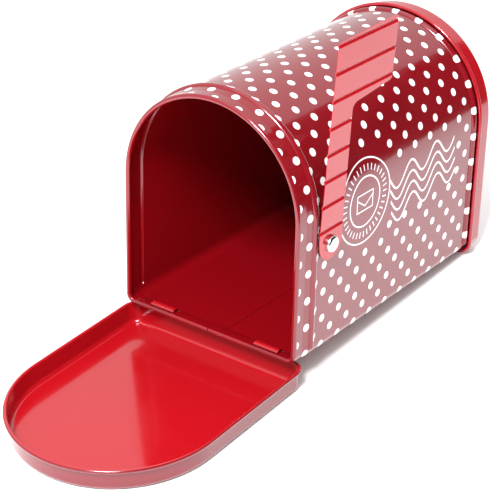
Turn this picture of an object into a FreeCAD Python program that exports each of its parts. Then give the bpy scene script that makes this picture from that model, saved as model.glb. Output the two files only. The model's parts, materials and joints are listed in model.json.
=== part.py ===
import FreeCAD, Part

import Sketcher
import math
import os

# Tin money box in the shape of a small post box, in millimetres.
# X is across the body, Y runs from front to back, Z is up from the underside. The pieces are drawn
# with the front rim at Y 0, and each finished piece is then placed with the origin on the underside.
# The document shows the box with its door open and its signal flag raised.

V = FreeCAD.Vector
X_AXIS = V(1, 0, 0)
Y_AXIS = V(0, 1, 0)

doc = FreeCAD.newDocument("TinMoneyBox")

# ---------------------------------------------------------------- driving dimensions
sheet = doc.addObject("Spreadsheet::Sheet", "sizes")
DRIVING = {
    "origin_back": 80.0,        # the origin lies this far behind the front rim
    "tin": 0.35,                # thickness of every pressed sheet
    "half_width": 50.0,         # body, outside; also the radius of its arched roof
    "spring_height": 68.6,      # where the straight sides meet the arch
    "corner_radius": 5.2,       # bottom corners, outside
    "tube_end": 161.6,          # rear end of the body tube
    "neck_inset": 0.5,          # the front band is drawn in, so that the door laps over it
    "neck_flat": 6.0,
    "neck_end": 10.0,
    "curl_radius": 1.05,        # front curl, centre line of the sheet
    "seat_start": 151.2,        # under the rear cover the tube is drawn in slightly
    "seat_inset": 0.05,
    "curl_gap": 0.4,            # between the two ends of the front curl, at the middle of the floor
    "seam_width": 5.0,          # lapped seam of the tube's sheet, along the floor
    "seam_height": 0.3,
    "seam_start": 3.2,
    "hem_length": 4.0,          # folded rear edge of the tube
    "hem_height": 0.72,
    "rib_front": 12.3,          # raised ribs around the sides and roof
    "rib_rear": 149.7,
    "rib_radius": 2.1,
    "rib_height": 1.2,
    "rib_foot": 6.0,
    "cover_offset": 0.75,       # inner face of the rear cover's skirt, from the tube
    "cover_front": 151.65,
    "cover_back": 164.3,
    "bead_radius": 0.78,        # rolled edges of cover and door, centre line of the sheet
    "press_radius": 2.4,        # rounded edge of the two end panels, centre line
    "cover_panel_inset": 2.16,  # the flat part of each end panel, from the body's outline
    "door_panel_inset": 2.64,
    "panel_overlap": 0.24,      # skirt and flat part run into each other by this much
    "door_gap": 0.3,            # door skirt to the necked front of the body
    "door_lap": 4.5,            # how far the closed door reaches over the body
    "door_depth": 11.3,
    "hinge_back": 6.2,
    "hinge_height": 0.05,
    "door_open": 93.7,          # degrees from closed to the open stop
    "tab_inner": 2.15,          # curled hinge tabs
    "tab_length": 13.6,
    "tab_spacing": 61.0,
    "tab_from": -66.0,          # angles of the curl about the hinge axis, door open
    "tab_to": 145.0,
    "slot_front": 7.9,
    "slot_back": 9.15,
    "slot_clearance": 0.45,
    "pivot_back": 21.0,         # signal flag
    "pivot_height": 55.8,
    "flag_offset": 2.5,         # outer face of the flag's lower end, from the body side
    "flag_hole": 1.65,
    "flag_lean": 3.2,           # degrees that the flag leans outward above its pivot
    "flag_bend": 6.0,
    "pole_front": -8.7,         # flag outline, from the pivot: back is +, up is +
    "pole_back": 9.1,
    "pole_back_top": 7.3,
    "pole_foot": 8.8,           # radius of the rounded lower end
    "pole_foot_rise": 1.0,
    "head_front": -8.0,
    "head_back": 38.0,
    "head_back_foot": 37.8,
    "head_top_front": 96.6,
    "head_top_back": 98.0,
    "head_foot": 64.9,
    "head_foot_back": 67.6,
    "head_round": 2.0,          # corner radii of the flag's outline
    "head_back_round": 3.2,
    "neck_round": 3.6,
    "crease_pitch": 12.55,
    "crease_first": 7.5,
    "crease_half": 1.15,
    "crease_depth": 0.6,
    "rivet_shank": 1.6,
    "rivet_head": 4.0,
    "rivet_head_height": 2.1,
    "rivet_head_flat": 2.7,     # radius of the flat on top of the head
    "rivet_tail": 2.6,
    "spacer_radius": 3.4,
    "flag_play": 0.05,
}
for row, (alias, value) in enumerate(DRIVING.items(), start=1):
    sheet.set(f"A{row}", alias)
    sheet.set(f"B{row}", str(value))
    sheet.setAlias(f"B{row}", alias)
doc.recompute()


def size(alias):
    return float(sheet.get(alias))


TIN = size("tin")
HALF = size("half_width")
CORNER = size("corner_radius")
SPRING = size("spring_height")
TO_ORIGIN = V(0, -size("origin_back"), 0)


# ---------------------------------------------------------------- the arched outline
def arched_sketch(name, y, closed):
    """The body's outside outline, in the plane at y: the whole loop, or only sides and roof."""
    sketch = doc.addObject("Sketcher::SketchObject", name)
    sketch.Placement = FreeCAD.Placement(V(0, y, 0), FreeCAD.Rotation(X_AXIS, 90))
    foot = CORNER if closed else size("rib_foot")
    flat = HALF - CORNER
    right = sketch.addGeometry(Part.LineSegment(V(HALF, foot, 0), V(HALF, SPRING, 0)))
    arch_circle = Part.Circle(V(0, SPRING, 0), V(0, 0, 1), HALF)
    arch = sketch.addGeometry(Part.ArcOfCircle(arch_circle, 0, math.pi))
    left = sketch.addGeometry(Part.LineSegment(V(-HALF, SPRING, 0), V(-HALF, foot, 0)))
    sketch.addConstraint(Sketcher.Constraint("Tangent", right, 2, arch, 1))
    sketch.addConstraint(Sketcher.Constraint("Tangent", arch, 2, left, 1))
    sketch.addConstraint(Sketcher.Constraint("Vertical", right))
    sketch.addConstraint(Sketcher.Constraint("PointOnObject", arch, 3, -2))
    radius = sketch.addConstraint(Sketcher.Constraint("Radius", arch, HALF))
    sketch.setExpression(f"Constraints[{radius}]", "sizes.half_width")
    height = sketch.addConstraint(Sketcher.Constraint("DistanceY", -1, 1, arch, 3, SPRING))
    sketch.setExpression(f"Constraints[{height}]", "sizes.spring_height")
    if not closed:
        for line, point in ((right, 1), (left, 2)):
            rise = sketch.addConstraint(Sketcher.Constraint("DistanceY", -1, 1, line, point, foot))
            sketch.setExpression(f"Constraints[{rise}]", "sizes.rib_foot")
        return sketch
    left_circle = Part.Circle(V(-flat, CORNER, 0), V(0, 0, 1), CORNER)
    left_corner = sketch.addGeometry(Part.ArcOfCircle(left_circle, math.pi, 1.5 * math.pi))
    bottom = sketch.addGeometry(Part.LineSegment(V(-flat, 0, 0), V(flat, 0, 0)))
    right_circle = Part.Circle(V(flat, CORNER, 0), V(0, 0, 1), CORNER)
    right_corner = sketch.addGeometry(Part.ArcOfCircle(right_circle, 1.5 * math.pi, 2 * math.pi))
    sketch.addConstraint(Sketcher.Constraint("Tangent", left, 2, left_corner, 1))
    sketch.addConstraint(Sketcher.Constraint("Tangent", left_corner, 2, bottom, 1))
    sketch.addConstraint(Sketcher.Constraint("Tangent", bottom, 2, right_corner, 1))
    sketch.addConstraint(Sketcher.Constraint("Tangent", right_corner, 2, right, 1))
    sketch.addConstraint(Sketcher.Constraint("Equal", left_corner, right_corner))
    sketch.addConstraint(Sketcher.Constraint("PointOnObject", bottom, 1, -1))
    bend = sketch.addConstraint(Sketcher.Constraint("Radius", left_corner, CORNER))
    sketch.setExpression(f"Constraints[{bend}]", "sizes.corner_radius")
    return sketch


# ---------------------------------------------------------------- pressed-sheet sections
# A section is drawn as the centre line of the sheet in (y, out), with out measured outward
# from the outline. It stands at the outline's first point, on the right-hand side.
def section_point(y, out, foot):
    return V(HALF + out, y, foot)


def section_line(start, end, foot):
    return Part.makeLine(section_point(*start, foot), section_point(*end, foot))


def section_arc(y, out, radius, start, end, foot):
    angles = [math.radians(a) for a in (start, (start + end) / 2, end)]
    points = [section_point(y + radius * math.cos(a), out + radius * math.sin(a), foot) for a in angles]
    return Part.Arc(*points).toShape()


def sheet_section(name, edges):
    """A band one sheet thick along the centre line."""
    section = doc.addObject("Part::Feature", name)
    section.Shape = Part.Wire(edges).makeOffset2D(TIN / 2, 0, True, False, False)
    return section


def sweep(name, section, spine, edges):
    swept = doc.addObject("Part::Sweep", name)
    swept.Sections = [section]
    swept.Spine = (spine, [f"Edge{n}" for n in range(1, edges + 1)])
    swept.Solid = True
    swept.Frenet = False
    return swept


def box(name, length, width, height, corner):
    """A box sized and placed by sheet expressions."""
    block = doc.addObject("Part::Box", name)
    for side, expression in zip(("Length", "Width", "Height"), (length, width, height)):
        block.setExpression(side, expression)
    for axis, expression in zip("xyz", corner):
        block.setExpression(f"Placement.Base.{axis}", expression)
    return block


def cylinder_along_x(name, radius, length, start, y, z):
    rod = doc.addObject("Part::Cylinder", name)
    rod.Placement = FreeCAD.Placement(V(0, 0, 0), FreeCAD.Rotation(Y_AXIS, 90))
    rod.setExpression("Radius", radius)
    rod.setExpression("Height", length)
    for axis, expression in zip("xyz", (start, y, z)):
        rod.setExpression(f"Placement.Base.{axis}", expression)
    return rod


def boolean(kind, name, base, tool):
    result = doc.addObject(f"Part::{kind}", name)
    result.Base = base
    result.Tool = tool
    return result


def placed(piece):
    """Moves a finished piece so that the origin lies on the underside."""
    piece.Placement.Base = TO_ORIGIN
    return piece


def end_panel(name, outline, inset, y):
    """A flat arched plate whose front face is at y."""
    smaller = doc.addObject("Part::Offset2D", f"{name}_outline")
    smaller.Source = outline
    smaller.setExpression("Value", inset)
    plate = doc.addObject("Part::Extrusion", name)
    plate.Base = smaller
    plate.DirMode = "Custom"
    plate.Dir = Y_AXIS
    plate.Solid = True
    plate.setExpression("LengthFwd", "sizes.tin")
    plate.setExpression("Placement.Base.y", y)
    return plate


loop = arched_sketch("body_outline", 0, True)
LOOP_EDGES = 6
rib_path = arched_sketch("rib_path", 0, False)
RIB_EDGES = 3


# ---------------------------------------------------------------- body shell
def body_shell():
    """Arched tube: curled front edge, drawn-in neck, two raised ribs, hemmed rear edge, slots."""
    foot = CORNER
    curl = size("curl_radius")
    wall = -TIN / 2
    neck = wall - size("neck_inset")
    seat = wall - size("seat_inset")
    curl_back = curl + TIN / 2
    section = sheet_section("tube_section", [
        section_arc(curl_back, neck - curl, curl, 360, 90, foot),
        section_line((curl_back, neck), (size("neck_flat"), neck), foot),
        section_line((size("neck_flat"), neck), (size("neck_end"), wall), foot),
        section_line((size("neck_end"), wall), (size("seat_start"), wall), foot),
        section_line((size("seat_start"), wall), (size("seat_start") + TIN, seat), foot),
        section_line((size("seat_start") + TIN, seat), (size("tube_end") - TIN / 2, seat), foot),
    ])
    shell = sweep("tube", section, loop, LOOP_EDGES)

    hem = doc.addObject("Part::Feature", "hem_section")
    front, back = size("tube_end") - size("hem_length"), size("tube_end")
    top = size("hem_height")
    corners = [(front, wall), (back, wall), (back, top), (front, top), (front, wall)]
    hem.Shape = Part.Face(Part.makePolygon([section_point(*corner, foot) for corner in corners]))
    shell = boolean("Fuse", "hemmed_tube", shell, sweep("hem", hem, loop, LOOP_EDGES))

    for name, alias in (("front_rib", "rib_front"), ("rear_rib", "rib_rear")):
        shell = boolean("Fuse", f"{name}_raised", shell, rib(name, alias, size("rib_radius"), wall))
        hollow = rib(f"{name}_hollow", alias, size("rib_radius") - TIN, -2 * TIN)
        shell = boolean("Cut", f"{name}_pressed", shell, hollow)

    shell = boolean("Fuse", "seamed_tube", shell, floor_seam())
    gap = box("curl_gap_cutter", "sizes.curl_gap", "3 * sizes.curl_radius", "3 * sizes.curl_radius",
              ("-sizes.curl_gap / 2", "-sizes.tin", "sizes.neck_inset + 1.5 * sizes.tin"))
    shell = boolean("Cut", "parted_curl", shell, gap)

    slot_width = "sizes.slot_back - sizes.slot_front"
    slot_length = "sizes.tab_length + 2 * sizes.slot_clearance"
    for side, sign in (("left", "-"), ("right", "+")):
        start = f"0 {sign} sizes.tab_spacing / 2 - ({slot_length}) / 2"
        slot = box(f"{side}_slot", slot_length, slot_width, "2 * sizes.hinge_back",
                   (start, "sizes.slot_front", "-sizes.hinge_back"))
        shell = boolean("Cut", f"{side}_slotted", shell, slot)

    hole = cylinder_along_x("rivet_hole", "sizes.rivet_shank", "10 * sizes.tin",
                            "sizes.half_width - 5 * sizes.tin", "sizes.pivot_back", "sizes.pivot_height")
    return placed(boolean("Cut", "body_shell", shell, hole))


def floor_seam():
    """The lap where the tube's sheet is joined: a second layer along the floor, beside the middle."""
    neck_line = size("neck_inset") + TIN / 2
    floor_line = TIN / 2
    rise = TIN / 2 + size("seam_height")
    run = [(size("seam_start"), neck_line), (size("neck_flat"), neck_line),
           (size("neck_end"), floor_line), (size("tube_end"), floor_line)]
    lower = [V(0, y, z) for y, z in run]
    upper = [V(0, y, z + rise) for y, z in reversed(run)]
    profile = doc.addObject("Part::Feature", "seam_profile")
    profile.Shape = Part.Face(Part.makePolygon(lower + upper + lower[:1]))
    layer = doc.addObject("Part::Extrusion", "floor_seam")
    layer.Base = profile
    layer.DirMode = "Custom"
    layer.Dir = X_AXIS
    layer.Solid = True
    layer.setExpression("LengthFwd", "sizes.seam_width")
    return layer


def rib(name, alias, radius, base):
    """A rounded bar over sides and roof, with a domed end at each foot. It is flat at base."""
    centre_out = size("rib_height") - size("rib_radius")
    y = size(alias)
    foot = size("rib_foot")
    reach = math.sqrt(radius ** 2 - (base - centre_out) ** 2)
    left_end = section_point(y - reach, base, foot)
    right_end = section_point(y + reach, base, foot)
    crest = section_point(y, centre_out + radius, foot)
    middle = section_point(y, base, foot)
    bow = Part.Arc(left_end, crest, right_end).toShape()
    section = doc.addObject("Part::Feature", f"{name}_section")
    section.Shape = Part.Face(Part.Wire([bow, Part.makeLine(right_end, left_end)]))
    bar = sweep(f"{name}_bar", section, rib_path, RIB_EDGES)

    angle = math.asin((base - centre_out) / radius)
    half = [Part.Arc(crest, section_point(y + radius * math.cos((angle + math.pi / 2) / 2),
                                          centre_out + radius * math.sin((angle + math.pi / 2) / 2), foot),
                     right_end).toShape(),
            Part.makeLine(right_end, middle), Part.makeLine(middle, crest)]
    dome = Part.Face(Part.Wire(half)).revolve(middle, X_AXIS, 360)
    domes = doc.addObject("Part::Feature", f"{name}_ends")
    domes.Shape = Part.makeCompound([dome, dome.mirror(V(0, 0, 0), X_AXIS)])
    return boolean("Fuse", name, bar, domes)


# ---------------------------------------------------------------- rear cover
def rear_cover():
    """Pressed lid pushed over the hemmed rear edge: rolled front edge, skirt, flat back."""
    foot = CORNER
    bead = size("bead_radius")
    press = size("press_radius")
    wall = size("cover_offset") + TIN / 2
    panel = size("cover_back") - TIN / 2
    bead_middle = size("cover_front") + bead + TIN / 2
    flat_start = -size("cover_panel_inset") - size("panel_overlap")
    section = sheet_section("cover_section", [
        section_arc(bead_middle, wall + bead, bead, 0, 270, foot),
        section_line((bead_middle, wall), (panel - press, wall), foot),
        section_arc(panel - press, wall - press, press, 90, 0, foot),
        section_line((panel, wall - press), (panel, flat_start), foot),
    ])
    skirt = sweep("cover_skirt", section, loop, LOOP_EDGES)
    back = end_panel("cover_panel", loop, "-sizes.cover_panel_inset", "sizes.cover_back - sizes.tin")
    return placed(boolean("Fuse", "rear_cover", skirt, back))


# ---------------------------------------------------------------- front door
def front_door():
    """Pressed pan that laps over the neck, hinged at the bottom by two curled tabs."""
    foot = CORNER
    bead = size("bead_radius")
    press = size("press_radius")
    wall = size("door_gap") - size("neck_inset") + TIN / 2
    panel = size("door_lap") - size("door_depth") + TIN / 2
    bead_middle = size("door_lap") - bead - TIN / 2
    flat_start = -size("door_panel_inset") - size("panel_overlap")
    section = sheet_section("door_section", [
        section_arc(bead_middle, wall + bead, bead, 180, -90, foot),
        section_line((bead_middle, wall), (panel + press, wall), foot),
        section_arc(panel + press, wall - press, press, 90, 180, foot),
        section_line((panel, wall - press), (panel, flat_start), foot),
    ])
    skirt = sweep("door_skirt", section, loop, LOOP_EDGES)
    front = end_panel("door_panel", loop, "-sizes.door_panel_inset",
                      "sizes.door_lap - sizes.door_depth")
    pan = boolean("Fuse", "door_pan", skirt, front)
    for side, sign in (("left", "-"), ("right", "+")):
        pan = boolean("Fuse", f"door_with_{side}_tab", pan, hinge_tab(side, sign))
    pan.Label = "front_door"
    hinge = V(0, size("hinge_back"), size("hinge_height"))
    opened = FreeCAD.Rotation(X_AXIS, size("door_open"))
    pan.Placement = FreeCAD.Placement(TO_ORIGIN, opened, hinge)
    return pan


def hinge_tab(side, sign):
    """A band of sheet curled about the hinge axis, drawn here with the door closed."""
    start = f"0 {sign} sizes.tab_spacing / 2 - sizes.tab_length / 2"
    place = (start, "sizes.hinge_back", "sizes.hinge_height")
    outer = cylinder_along_x(f"{side}_tab_outside", "sizes.tab_inner + sizes.tin", "sizes.tab_length", *place)
    inner = cylinder_along_x(f"{side}_tab_inside", "sizes.tab_inner", "sizes.tab_length", *place)
    for part in (outer, inner):
        part.setExpression("Angle", "sizes.tab_to - sizes.tab_from")
    turned = 90 + size("tab_from") - size("door_open")
    spin = FreeCAD.Rotation(X_AXIS, turned).multiply(FreeCAD.Rotation(Y_AXIS, 90))
    for part in (outer, inner):
        part.Placement.Rotation = spin
    return boolean("Cut", f"{side}_tab", outer, inner)


# ---------------------------------------------------------------- signal flag
def rounded_run(corners):
    """Straight lines through the corners, with an arc of the given radius at each one between."""
    edges = []
    start = corners[0][0]
    for (before, _), (corner, radius), (after, _) in zip(corners, corners[1:], corners[2:]):
        back, ahead = (before - corner).normalize(), (after - corner).normalize()
        half = back.getAngle(ahead) / 2
        middle = (back + ahead).normalize()
        entry = corner + back * (radius / math.tan(half))
        leave = corner + ahead * (radius / math.tan(half))
        bow = corner + middle * (radius / math.sin(half) - radius)
        edges.append(Part.makeLine(start, entry))
        edges.append(Part.Arc(entry, bow, leave).toShape())
        start = leave
    edges.append(Part.makeLine(start, corners[-1][0]))
    return edges


FLAG_BLANK = 60.0       # the blank and the creased sheet are drawn larger than the flag that they share


def flag_centre(height):
    """Distance out of the flag's sheet at a height above the pivot."""
    return max(0.0, height - size("flag_bend")) * math.tan(math.radians(size("flag_lean")))


def signal_flag():
    """Creased flag: upright pole with a rounded foot and a broad head, leaning slightly outward."""
    rise = size("pole_foot_rise")
    corners = [
        ((size("pole_front"), rise), 0),
        ((size("head_front"), size("head_top_front")), size("head_round")),
        ((size("head_back"), size("head_top_back")), size("head_back_round")),
        ((size("head_back_foot"), size("head_foot_back")), size("head_round")),
        ((size("pole_back_top"), size("head_foot")), size("neck_round")),
        ((size("pole_back"), rise), 0),
    ]
    edges = rounded_run([(V(0, y, z), radius) for (y, z), radius in corners])
    first, last = V(0, size("pole_front"), rise), V(0, size("pole_back"), rise)
    lowest = V(0, (first.y + last.y) / 2, rise - size("pole_foot"))
    edges.append(Part.Arc(last, lowest, first).toShape())
    profile = doc.addObject("Part::Feature", "flag_outline")
    profile.Shape = Part.Face(Part.Wire(edges))
    blank = doc.addObject("Part::Extrusion", "flag_blank")
    blank.Base = profile
    blank.DirMode = "Custom"
    blank.Dir = X_AXIS
    blank.LengthFwd = FLAG_BLANK
    blank.LengthRev = FLAG_BLANK
    blank.Solid = True

    heights = [-2 * size("pole_foot"), size("flag_bend")]
    crest = [(flag_centre(z), z) for z in heights]
    crease = size("crease_first")
    top = size("head_top_back")
    while crease < top:
        for step, depth in ((-1, 0), (0, size("crease_depth")), (1, 0)):
            z = crease + step * size("crease_half")
            crest.append((flag_centre(z) - depth, z))
        crease += size("crease_pitch")
    crest.append((flag_centre(top + CORNER), top + CORNER))
    face = [V(x, 0, z) for x, z in crest]
    back = [V(x - TIN, 0, z) for x, z in reversed(crest)]
    creased = doc.addObject("Part::Feature", "flag_creases")
    creased.Shape = Part.Face(Part.makePolygon(face + back + face[:1]))
    plate = doc.addObject("Part::Extrusion", "flag_sheet")
    plate.Base = creased
    plate.DirMode = "Custom"
    plate.Dir = Y_AXIS
    plate.LengthFwd = FLAG_BLANK
    plate.LengthRev = FLAG_BLANK
    plate.Solid = True
    flag = boolean("Common", "flag_pressed", plate, blank)
    hole = cylinder_along_x("flag_hole_cutter", "sizes.flag_hole", "20 * sizes.tin",
                            "-10 * sizes.tin", "0", "0")
    flag = boolean("Cut", "signal_flag", flag, hole)
    flag.setExpression("Placement.Base.x", "sizes.half_width + sizes.flag_offset")
    flag.setExpression("Placement.Base.y", "sizes.pivot_back - sizes.origin_back")
    flag.setExpression("Placement.Base.z", "sizes.pivot_height")
    return flag


# ---------------------------------------------------------------- rivet and spacer
PIVOT = ("sizes.pivot_back", "sizes.pivot_height")


def flag_rivet():
    """Turned about the pivot: tail spread inside the wall, shank, and a round-edged head outside."""
    tail_end, tail_face = -4 * TIN, -TIN
    head_face = size("flag_offset") + size("flag_play")
    head_top = head_face + size("rivet_head_height")
    shank, head, tail = size("rivet_shank"), size("rivet_head"), size("rivet_tail")
    flat = size("rivet_head_flat")
    round_edge = head - flat
    head_edge = head_top - round_edge
    outline = [(tail_end, 0), (tail_end, tail), (tail_face, tail), (tail_face, shank),
               (head_face, shank), (head_face, head), (head_edge, head)]
    edges = Part.makePolygon([V(x, radius, 0) for x, radius in outline]).Edges
    diagonal = round_edge * math.sqrt(0.5)
    shoulder = V(head_edge + diagonal, flat + diagonal, 0)
    edges.append(Part.Arc(V(head_edge, head, 0), shoulder, V(head_top, flat, 0)).toShape())
    edges.append(Part.makeLine(V(head_top, flat, 0), V(head_top, 0, 0)))
    edges.append(Part.makeLine(V(head_top, 0, 0), V(tail_end, 0, 0)))
    profile = doc.addObject("Part::Feature", "rivet_profile")
    profile.Shape = Part.Face(Part.Wire(edges))
    rivet = doc.addObject("Part::Revolution", "flag_rivet")
    rivet.Source = profile
    rivet.Axis = X_AXIS
    rivet.Angle = 360
    rivet.Solid = True
    rivet.setExpression("Placement.Base.x", "sizes.half_width")
    rivet.setExpression("Placement.Base.y", "sizes.pivot_back - sizes.origin_back")
    rivet.setExpression("Placement.Base.z", "sizes.pivot_height")
    return rivet


def flag_spacer():
    """Washer that holds the flag clear of the raised rib."""
    length = "sizes.flag_offset - sizes.tin - sizes.flag_play"
    outer = cylinder_along_x("spacer_outside", "sizes.spacer_radius", length, "sizes.half_width", *PIVOT)
    inner = cylinder_along_x("spacer_inside", "sizes.rivet_shank", length, "sizes.half_width", *PIVOT)
    return placed(boolean("Cut", "flag_spacer", outer, inner))


PARTS = [build() for build in (body_shell, rear_cover, front_door, signal_flag, flag_rivet, flag_spacer)]
doc.recompute()

for obj in doc.Objects:
    if "Invalid" in obj.State or "Error" in obj.State:
        raise RuntimeError(f"{obj.Name} failed: {obj.State}")
os.makedirs("parts", exist_ok=True)
for part in PARTS:
    if part.Shape.isNull() or not part.Shape.isValid() or len(part.Shape.Solids) != 1:
        raise RuntimeError(f"{part.Label} has no single valid solid")
for part in PARTS:
    bounds = part.Shape.BoundBox
    print(f"{part.Label:14s} volume {part.Shape.Volume:9.1f}  X {bounds.XMin:.2f} {bounds.XMax:.2f}"
          f"  Y {bounds.YMin:.2f} {bounds.YMax:.2f}  Z {bounds.ZMin:.2f} {bounds.ZMax:.2f}")
    part.Shape.exportStep(os.path.join("parts", f"{part.Label}.step"))
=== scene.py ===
import json
import math

import bpy
from mathutils import Matrix, Vector


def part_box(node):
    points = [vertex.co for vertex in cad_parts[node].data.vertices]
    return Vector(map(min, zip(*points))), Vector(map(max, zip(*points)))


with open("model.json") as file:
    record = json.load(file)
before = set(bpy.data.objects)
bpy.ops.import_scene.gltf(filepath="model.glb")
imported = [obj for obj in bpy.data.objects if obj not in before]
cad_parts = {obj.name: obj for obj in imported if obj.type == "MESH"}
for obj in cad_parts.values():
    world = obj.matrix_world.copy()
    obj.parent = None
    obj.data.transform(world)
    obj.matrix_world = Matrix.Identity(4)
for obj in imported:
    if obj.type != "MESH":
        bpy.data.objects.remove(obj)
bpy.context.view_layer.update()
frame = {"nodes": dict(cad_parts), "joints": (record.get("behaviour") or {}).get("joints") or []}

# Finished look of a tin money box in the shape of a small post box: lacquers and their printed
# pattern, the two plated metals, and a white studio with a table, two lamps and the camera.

MM = 0.001
NODES = frame["nodes"]


# ---------------------------------------------------------------- sizes worked out from the frame
def body_size():
    """Half width and spring height of the arched body. Its ribs stand out from side and roof alike."""
    half_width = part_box("flag_spacer")[0].x
    shell_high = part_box("body_shell")[1]
    rib = shell_high.x - half_width
    roof = shell_high.z - rib
    return half_width, roof - half_width


HALF_WIDTH, SPRING = body_size()
FRONT_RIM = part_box("body_shell")[0].y
ROOF_LENGTH = SPRING + HALF_WIDTH * math.pi / 2
HINGES = {joint["name"]: joint for joint in frame["joints"]}
DOOR_TRAVEL = -HINGES["door_hinge"]["range_deg"][0]
TABLE_TILT = math.radians(DOOR_TRAVEL - 90)
DOOR_ARCH = HINGES["door_hinge"]["pos_m"][1] - SPRING      # where the open door's arched end begins
TURNED_AWAY = 0.5           # a surface counts as facing outward from this share of its normal


# ---------------------------------------------------------------- shader arithmetic
class Graph:
    """Writes a material's node tree as plain arithmetic on sockets and numbers."""

    def __init__(self, name):
        self.material = bpy.data.materials.new(name)
        self.material.use_nodes = True
        self.tree = self.material.node_tree
        self.tree.nodes.clear()
        self.output = self.tree.nodes.new("ShaderNodeOutputMaterial")
        self.shader = self.tree.nodes.new("ShaderNodeBsdfPrincipled")
        self.tree.links.new(self.shader.outputs[0], self.output.inputs["Surface"])
        self.coordinates = self.tree.nodes.new("ShaderNodeTexCoord")

    def put(self, socket, value):
        if isinstance(value, bpy.types.NodeSocket):
            self.tree.links.new(value, socket)
        else:
            socket.default_value = value

    def math(self, operation, *values, clamp=False):
        node = self.tree.nodes.new("ShaderNodeMath")
        node.operation = operation
        node.use_clamp = clamp
        for socket, value in zip(node.inputs, values):
            self.put(socket, value)
        return node.outputs[0]

    def add(self, a, b):
        return self.math("ADD", a, b)

    def subtract(self, a, b):
        return self.math("SUBTRACT", a, b)

    def times(self, a, b):
        return self.math("MULTIPLY", a, b)

    def length(self, a, b):
        return self.math("SQRT", self.add(self.times(a, a), self.times(b, b)))

    def below(self, value, limit):
        """1 where value is under limit, falling to 0 over the print's soft edge."""
        return self.ramp(value, limit - PRINT_EDGE, limit + PRINT_EDGE, 1, 0)

    def between(self, value, low, high):
        return self.times(self.math("GREATER_THAN", value, low), self.math("LESS_THAN", value, high))

    def either(self, *masks):
        total = masks[0]
        for mask in masks[1:]:
            total = self.math("MAXIMUM", total, mask)
        return total

    def ramp(self, value, low, high, start, end):
        node = self.tree.nodes.new("ShaderNodeMapRange")
        for name, amount in zip(("From Min", "From Max", "To Min", "To Max"), (low, high, start, end)):
            node.inputs[name].default_value = amount
        self.put(node.inputs["Value"], value)
        return node.outputs["Result"]

    def axes(self, output):
        node = self.tree.nodes.new("ShaderNodeSeparateXYZ")
        self.tree.links.new(self.coordinates.outputs[output], node.inputs[0])
        return node.outputs

    def noise(self, scale, detail=3.0, stretch=(1, 1, 1)):
        mapping = self.tree.nodes.new("ShaderNodeMapping")
        mapping.inputs["Scale"].default_value = stretch
        self.tree.links.new(self.coordinates.outputs["Object"], mapping.inputs["Vector"])
        node = self.tree.nodes.new("ShaderNodeTexNoise")
        node.inputs["Scale"].default_value = scale
        node.inputs["Detail"].default_value = detail
        self.tree.links.new(mapping.outputs[0], node.inputs["Vector"])
        return node.outputs["Fac"]

    def mix(self, factor, first, second):
        node = self.tree.nodes.new("ShaderNodeMix")
        node.data_type = "RGBA"
        self.put(node.inputs["Factor"], factor)
        for socket, colour in zip(node.inputs[6:8], (first, second)):
            self.put(socket, colour)
        return node.outputs[2]

    def bump(self, height, distance, strength=1.0):
        node = self.tree.nodes.new("ShaderNodeBump")
        node.inputs["Distance"].default_value = distance
        node.inputs["Strength"].default_value = strength
        self.put(node.inputs["Height"], height)
        self.tree.links.new(node.outputs[0], self.shader.inputs["Normal"])

    def set(self, **values):
        for name, value in values.items():
            self.put(self.shader.inputs[name.replace("_", " ").title().replace("Ior", "IOR")], value)


# ---------------------------------------------------------------- the printed pattern, in millimetres
DOT_PITCH = 13.535          # of each of the two crossed grids
DOT_RADIUS = 1.9
FIRST_DOT_BACK = 0.085      # from the front rim
FIRST_DOT_HEIGHT = 10.56    # up the side, from the underside
RIB_BACK = 12.3             # middle of the front rib
NECK_SHIFT = 1.47           # ahead of the front rib the print sits this much further back
PRINT_EDGE = 0.09           # half the width over which the ink ends
INK_LINE = 0.48             # half the width of a printed line
PRINT_START = 0.45          # the front edge itself is not printed

STAMP_BACK = 51.9
STAMP_HEIGHT = 64.2
STAMP_OUTER = 20.6          # radii of the two rings
STAMP_INNER = 12.2
STAMP_CLEAR = 26.3          # no dot is printed closer to the middle of the stamp
STAMP_BARS = 36
BAR_HALF_WIDTH = 0.30
BAR_HALF_LENGTH = 1.5
STAMP_LINE = 0.36           # half the width of the rings
ENVELOPE_HALF_WIDTH = 6.4
ENVELOPE_HALF_HEIGHT = 4.2
FINE_LINE = 0.28            # half the width of the envelope's lines

WAVES_FROM = 72.5
WAVES_TO = 130.5
WAVES_CLEAR_FROM = 51.9     # no dot is printed in this rectangle
WAVES_CLEAR_TO = 131.0
WAVES_CLEAR_LOW = 48.0
WAVES_CLEAR_HIGH = 75.0
WAVE_COUNT = 4
WAVE_LENGTH = 22.45
WAVE_HEIGHT = 4.75
WAVE_CREST = 91.0
WAVE_MIDDLE = 67.0          # middle line of the uppermost wave, at WAVE_CREST
WAVE_RISE = 0.085           # the waves climb this much for each millimetre towards the back
WAVE_STEP_DOWN = 5.9
WAVE_STEP_BACK = 1.0


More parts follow.
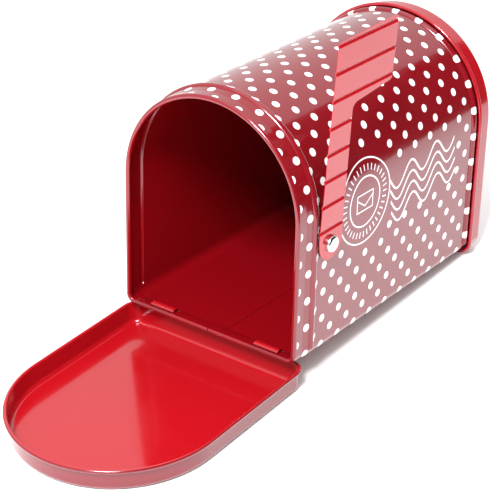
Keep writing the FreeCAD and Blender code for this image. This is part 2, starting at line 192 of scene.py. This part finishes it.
def unrolled(graph):
    """Back along the tube and up the right side and over, in mm, and whether it is the outside."""
    x, y, z = graph.axes("Object")
    across = graph.math("ABSOLUTE", x)
    over = graph.math("MAXIMUM", graph.subtract(z, SPRING), 0.0)
    turn = graph.math("ARCTAN2", over, across)
    side = graph.add(graph.math("MINIMUM", z, SPRING), graph.times(turn, HALF_WIDTH))
    right = graph.math("GREATER_THAN", x, 0.0)
    beyond = graph.subtract(2 * ROOF_LENGTH, side)
    up = graph.add(graph.times(side, right), graph.times(beyond, graph.subtract(1.0, right)))
    back = graph.times(graph.subtract(y, FRONT_RIM), 1 / MM)
    ahead = graph.math("LESS_THAN", back, RIB_BACK)
    back = graph.subtract(back, graph.times(ahead, NECK_SHIFT))
    normal_x, _, normal_z = graph.axes("Normal")
    facing = graph.add(graph.times(normal_x, x), graph.times(normal_z, over))
    return back, graph.times(up, 1 / MM), graph.math("GREATER_THAN", facing, 0.0)


def dots(graph, back, up):
    """Two crossed square grids of dots, missing where the stamp and the waves are printed."""
    column = graph.times(graph.subtract(back, FIRST_DOT_BACK), 1 / DOT_PITCH)
    row = graph.times(graph.subtract(up, FIRST_DOT_HEIGHT), 1 / DOT_PITCH)
    off_column = graph.math("PINGPONG", column, 0.5)
    off_row = graph.math("PINGPONG", row, 0.5)
    corner = graph.length(off_column, off_row)
    middle = graph.length(graph.subtract(0.5, off_column), graph.subtract(0.5, off_row))
    nearest = graph.times(graph.math("MINIMUM", corner, middle), DOT_PITCH)
    is_corner = graph.math("LESS_THAN", corner, middle)

    def centre(cell, first):
        at_corner = graph.math("ROUND", cell)
        at_middle = graph.add(graph.math("FLOOR", cell), 0.5)
        chosen = graph.add(graph.times(at_corner, is_corner),
                           graph.times(at_middle, graph.subtract(1.0, is_corner)))
        return graph.add(graph.times(chosen, DOT_PITCH), first)

    dot_back = centre(column, FIRST_DOT_BACK)
    dot_up = centre(row, FIRST_DOT_HEIGHT)
    from_stamp = graph.length(graph.subtract(dot_back, STAMP_BACK), graph.subtract(dot_up, STAMP_HEIGHT))
    near_stamp = graph.math("LESS_THAN", from_stamp, STAMP_CLEAR)
    near_waves = graph.times(graph.between(dot_back, WAVES_CLEAR_FROM, WAVES_CLEAR_TO),
                             graph.between(dot_up, WAVES_CLEAR_LOW, WAVES_CLEAR_HIGH))
    kept = graph.subtract(1.0, graph.either(near_stamp, near_waves))
    return graph.times(graph.below(nearest, DOT_RADIUS), kept)


def line_mask(graph, distance, half_width=INK_LINE):
    """A printed line, from the distance to its middle."""
    return graph.below(graph.math("ABSOLUTE", distance), half_width)


def stamp(graph, back, up):
    """Two rings with a band of plain bars between them, and an envelope in the middle."""
    right = graph.subtract(back, STAMP_BACK)
    high = graph.subtract(up, STAMP_HEIGHT)
    radius = graph.length(right, high)
    rings = [line_mask(graph, graph.subtract(radius, ring), STAMP_LINE)
             for ring in (STAMP_OUTER, STAMP_INNER)]
    band_middle = (STAMP_OUTER + STAMP_INNER) / 2
    angle = graph.times(graph.math("ARCTAN2", high, right), STAMP_BARS / math.tau)
    across_bar = graph.times(graph.math("PINGPONG", angle, 0.5), math.tau * band_middle / STAMP_BARS)
    along_bar = graph.math("ABSOLUTE", graph.subtract(radius, band_middle))
    bars = graph.times(graph.below(across_bar, BAR_HALF_WIDTH), graph.below(along_bar, BAR_HALF_LENGTH))
    half_wide, half_high = ENVELOPE_HALF_WIDTH, ENVELOPE_HALF_HEIGHT
    sideways = graph.math("ABSOLUTE", right)
    upright = graph.math("ABSOLUTE", high)
    beyond = graph.math("MAXIMUM", graph.subtract(sideways, half_wide), graph.subtract(upright, half_high))
    frame_line = line_mask(graph, beyond, FINE_LINE)
    slope = half_high / half_wide
    flap = graph.subtract(high, graph.times(graph.subtract(sideways, 0.5 * half_wide), slope))
    flap_line = graph.times(line_mask(graph, graph.times(flap, math.cos(math.atan(slope))), FINE_LINE),
                            graph.math("LESS_THAN", beyond, 0.0))
    return graph.either(*rings, bars, frame_line, flap_line)


def waves(graph, back, up):
    """Cancelling waves beside the stamp: one wave drawn several times, each lower and further back."""
    lines = []
    per_mm = math.tau / WAVE_LENGTH
    for number in range(WAVE_COUNT):
        along = graph.subtract(back, number * WAVE_STEP_BACK)
        phase = graph.times(graph.subtract(along, WAVE_CREST), per_mm)
        level = graph.add(graph.times(graph.subtract(along, WAVE_CREST), WAVE_RISE),
                          WAVE_MIDDLE - number * WAVE_STEP_DOWN)
        curve = graph.add(graph.times(graph.math("COSINE", phase), WAVE_HEIGHT), level)
        slope = graph.times(graph.math("SINE", phase), WAVE_HEIGHT * per_mm)
        steepness = graph.math("SQRT", graph.add(graph.times(slope, slope), 1.0))
        distance = graph.math("DIVIDE", graph.subtract(up, curve), steepness)
        lines.append(graph.times(line_mask(graph, distance), graph.between(along, WAVES_FROM, WAVES_TO)))
    return graph.either(*lines)


# ---------------------------------------------------------------- materials
DEEP_RED = (0.17, 0.0035, 0.007, 1)     # body and door, outside
INSIDE_RED_WITH_PAINTED_SHADE = (0.22, 0.002, 0.005, 1)    # body, inside: red lacquer, darkened to paint in the shade inside the box
BRIGHT_RED = (0.35, 0.004, 0.008, 1)    # door, inside
COVER_RED = (0.31, 0.004, 0.009, 1)
FLAG_RED = (0.42, 0.006, 0.012, 1)
INK_WHITE = (0.80, 0.82, 0.86, 1)
GLOSS_TINT = (1.0, 0.86, 0.97, 1)
DRIFT = 0.9                             # the darkest share of a colour that drifts
DRIFT_SCALE = 18.0
GLOSS = 0.16                            # roughness of the lacquer
SMEAR_SCALE = 55.0
PEEL_SCALE = 900.0
PEEL_DEPTH = 0.02 * MM
NICKEL = ((0.86, 0.85, 0.83, 1), (0.70, 0.69, 0.68, 1))
ZINC = ((0.62, 0.62, 0.61, 1), (0.45, 0.45, 0.46, 1))
NICKEL_ROUGHNESS = 0.24
ZINC_ROUGHNESS = 0.36
WEAR_SCALE = 700.0
TURNING_SCALE = 2500.0
TURNING_DEPTH = 0.01 * MM


def drifting(graph, colour):
    """A colour that varies slightly over the piece."""
    darker = tuple(channel * DRIFT for channel in colour[:3]) + (1,)
    return graph.mix(graph.noise(DRIFT_SCALE, 2.0), darker, colour)


def lacquer(graph):
    """Gloss lacquer on tin: fine orange peel and faint smears."""
    smears = graph.noise(SMEAR_SCALE, 4.0, (1, 1, 2.5))
    graph.set(roughness=graph.ramp(smears, 0.3, 0.75, GLOSS - 0.05, GLOSS + 0.07))
    graph.bump(graph.noise(PEEL_SCALE, 2.0), PEEL_DEPTH, 0.5)
    graph.set(specular_ior_level=0.55, specular_tint=GLOSS_TINT, coat_weight=0.55, coat_roughness=0.06)


def body_material():
    """Deep red with white print outside; inside, red lacquer darkened as painted shade."""
    graph = Graph("dotted_lacquer")
    back, up, outside = unrolled(graph)
    right = graph.math("LESS_THAN", up, ROOF_LENGTH / MM)
    printed_once = graph.either(stamp(graph, back, up), waves(graph, back, up))
    printed = graph.either(dots(graph, back, up), graph.times(printed_once, right))
    lacquer(graph)
    # the inside colour is red lacquer darkened to paint in the shade inside the box
    paint = graph.mix(outside, drifting(graph, INSIDE_RED_WITH_PAINTED_SHADE), drifting(graph, DEEP_RED))
    covered = graph.times(outside, graph.math("GREATER_THAN", back, PRINT_START))
    graph.set(base_color=graph.mix(graph.times(printed, covered), paint, INK_WHITE))
    return graph.material


def door_material():
    """The door's sheet is bright inside and deep red outside. Directions are those of the open door."""
    graph = Graph("door_lacquer")
    x, y, _ = graph.axes("Object")
    normal_x, normal_y, normal_z = graph.axes("Normal")
    beyond = graph.math("MINIMUM", graph.subtract(y, DOOR_ARCH), 0.0)
    across = graph.add(graph.times(normal_x, x), graph.times(normal_y, beyond))
    skirt = graph.math("GREATER_THAN", graph.math("DIVIDE", across, graph.length(x, beyond)), TURNED_AWAY)
    face = graph.math("LESS_THAN", normal_z, -TURNED_AWAY)
    foot = graph.times(graph.math("GREATER_THAN", normal_y, TURNED_AWAY),
                       graph.math("GREATER_THAN", y, DOOR_ARCH))
    lacquer(graph)
    outside = graph.either(skirt, face, foot)
    graph.set(base_color=graph.mix(outside, drifting(graph, BRIGHT_RED), drifting(graph, DEEP_RED)))
    return graph.material


def plain_material(name, colour):
    """Lacquer in one drifting colour."""
    graph = Graph(name)
    lacquer(graph)
    graph.set(base_color=drifting(graph, colour))
    return graph.material


def metal_material(name, light, dark, roughness):
    """Plated steel with fine turning marks round the X axis."""
    graph = Graph(name)
    graph.set(metallic=1.0, specular_ior_level=0.5)
    wear = graph.noise(WEAR_SCALE, 4.0)
    graph.set(base_color=graph.mix(wear, dark, light))
    graph.set(roughness=graph.ramp(wear, 0.3, 0.7, roughness - 0.06, roughness + 0.08))
    graph.bump(graph.noise(TURNING_SCALE, 2.0, (3, 1, 1)), TURNING_DEPTH, 0.4)
    return graph.material


def dress(node, material):
    """Gives a CAD node its finished material."""
    for slot in NODES[node].material_slots:
        slot.material = material


dress("body_shell", body_material())
dress("rear_cover", plain_material("cover_lacquer", COVER_RED))
dress("front_door", door_material())
dress("signal_flag", plain_material("flag_lacquer", FLAG_RED))
dress("flag_rivet", metal_material("bright_nickel", *NICKEL, NICKEL_ROUGHNESS))
dress("flag_spacer", metal_material("zinc_plate", *ZINC, ZINC_ROUGHNESS))


# ---------------------------------------------------------------- table, lights, camera
TABLE_SIZE = 6.0
TABLE_GAP = 0.1 * MM        # the table is this far below the open door
TABLE_GREYS = ((0.92, 0.92, 0.92, 1), (0.95, 0.95, 0.95, 1))


def table():
    """A pale table that the open door lies flat on; the body is tipped back a little."""
    up = Vector((0, -math.sin(TABLE_TILT), math.cos(TABLE_TILT)))
    touching = min(up.dot(vertex.co) for vertex in NODES["front_door"].data.vertices)
    bpy.ops.mesh.primitive_plane_add(size=TABLE_SIZE)
    top = bpy.context.object
    top.name = "table"
    level = Matrix.Translation(up * (touching - TABLE_GAP))
    top.matrix_world = level @ Matrix.Rotation(TABLE_TILT, 4, "X")
    graph = Graph("pale_table")
    graph.set(base_color=graph.mix(graph.noise(3.0), *TABLE_GREYS))
    graph.set(roughness=0.7)
    top.data.materials.append(graph.material)


def softbox(name, place, target, width, height, watts):
    """A rectangular soft lamp that faces its target."""
    light = bpy.data.lights.new(name, "AREA")
    light.shape = "RECTANGLE"
    light.size = width
    light.size_y = height
    light.energy = watts
    lamp = bpy.data.objects.new(name, light)
    lamp.location = place
    aim = Vector(target) - Vector(place)
    lamp.rotation_euler = aim.to_track_quat("-Z", "Y").to_euler()
    bpy.context.scene.collection.objects.link(lamp)


SURROUNDINGS = 1.04         # brightness of the white studio
CARD_PLACE = (0.27, 0.05, 0.385)
CARD_SCALE = (0.8, 1.6, 1)


def studio():
    """White surroundings, two soft lamps, and a dark card for the lacquer to reflect."""
    world = bpy.data.worlds.new("studio")
    world.use_nodes = True
    surroundings = world.node_tree.nodes["Background"]
    surroundings.inputs["Color"].default_value = (1, 1, 1, 1)
    surroundings.inputs["Strength"].default_value = SURROUNDINGS
    bpy.context.scene.world = world
    bpy.context.scene.view_settings.view_transform = "Standard"
    softbox("overhead", place=(-0.1, 0, 1), target=(0, 0, 0.04), width=0.7, height=0.7, watts=1.5)
    softbox("front", place=(0.2, -0.72, 0.8), target=(0, -0.05, 0), width=0.3, height=0.25, watts=19)
    dark_card()


def dark_card():
    """A black card beside the box that only shows as a reflection in the lacquer."""
    bpy.ops.mesh.primitive_plane_add(size=1.0)
    card = bpy.context.object
    card.name = "dark_card"
    card.matrix_world = Matrix.Translation(CARD_PLACE) @ Matrix.Rotation(math.pi / 2, 4, "Y")
    card.scale = CARD_SCALE
    graph = Graph("black_card")
    graph.set(base_color=(0.01, 0.01, 0.01, 1), roughness=0.9, specular_ior_level=0.0)
    card.data.materials.append(graph.material)
    card.visible_camera = False
    card.visible_diffuse = False
    card.visible_shadow = False


CAMERA_AZIMUTH = math.radians(36.264)
CAMERA_ELEVATION = math.radians(26.649)
CAMERA_ROLL = math.radians(1.301)
CAMERA_DISTANCE = 0.81038
CAMERA_TARGET = Vector((-0.00897, FRONT_RIM + 0.04065, 0.02645))
CAMERA_LENS = 123.11
SENSOR_WIDTH = 36


def camera():
    """Looks at the open mouth from the front right and above."""
    data = bpy.data.cameras.new("camera")
    data.lens = CAMERA_LENS
    data.sensor_width = SENSOR_WIDTH
    view = bpy.data.objects.new("camera", data)
    back = Vector((math.sin(CAMERA_AZIMUTH) * math.cos(CAMERA_ELEVATION),
                   -math.cos(CAMERA_AZIMUTH) * math.cos(CAMERA_ELEVATION),
                   math.sin(CAMERA_ELEVATION)))
    right = Vector((math.cos(CAMERA_AZIMUTH), math.sin(CAMERA_AZIMUTH), 0))
    up = back.cross(right)
    rolled_right = math.cos(CAMERA_ROLL) * right + math.sin(CAMERA_ROLL) * up
    rolled_up = math.cos(CAMERA_ROLL) * up - math.sin(CAMERA_ROLL) * right
    turn = Matrix((rolled_right, rolled_up, back)).transposed().to_4x4()
    view.matrix_world = Matrix.Translation(CAMERA_TARGET + back * CAMERA_DISTANCE) @ turn
    bpy.context.scene.collection.objects.link(view)
    bpy.context.scene.camera = view


table()
studio()
camera()
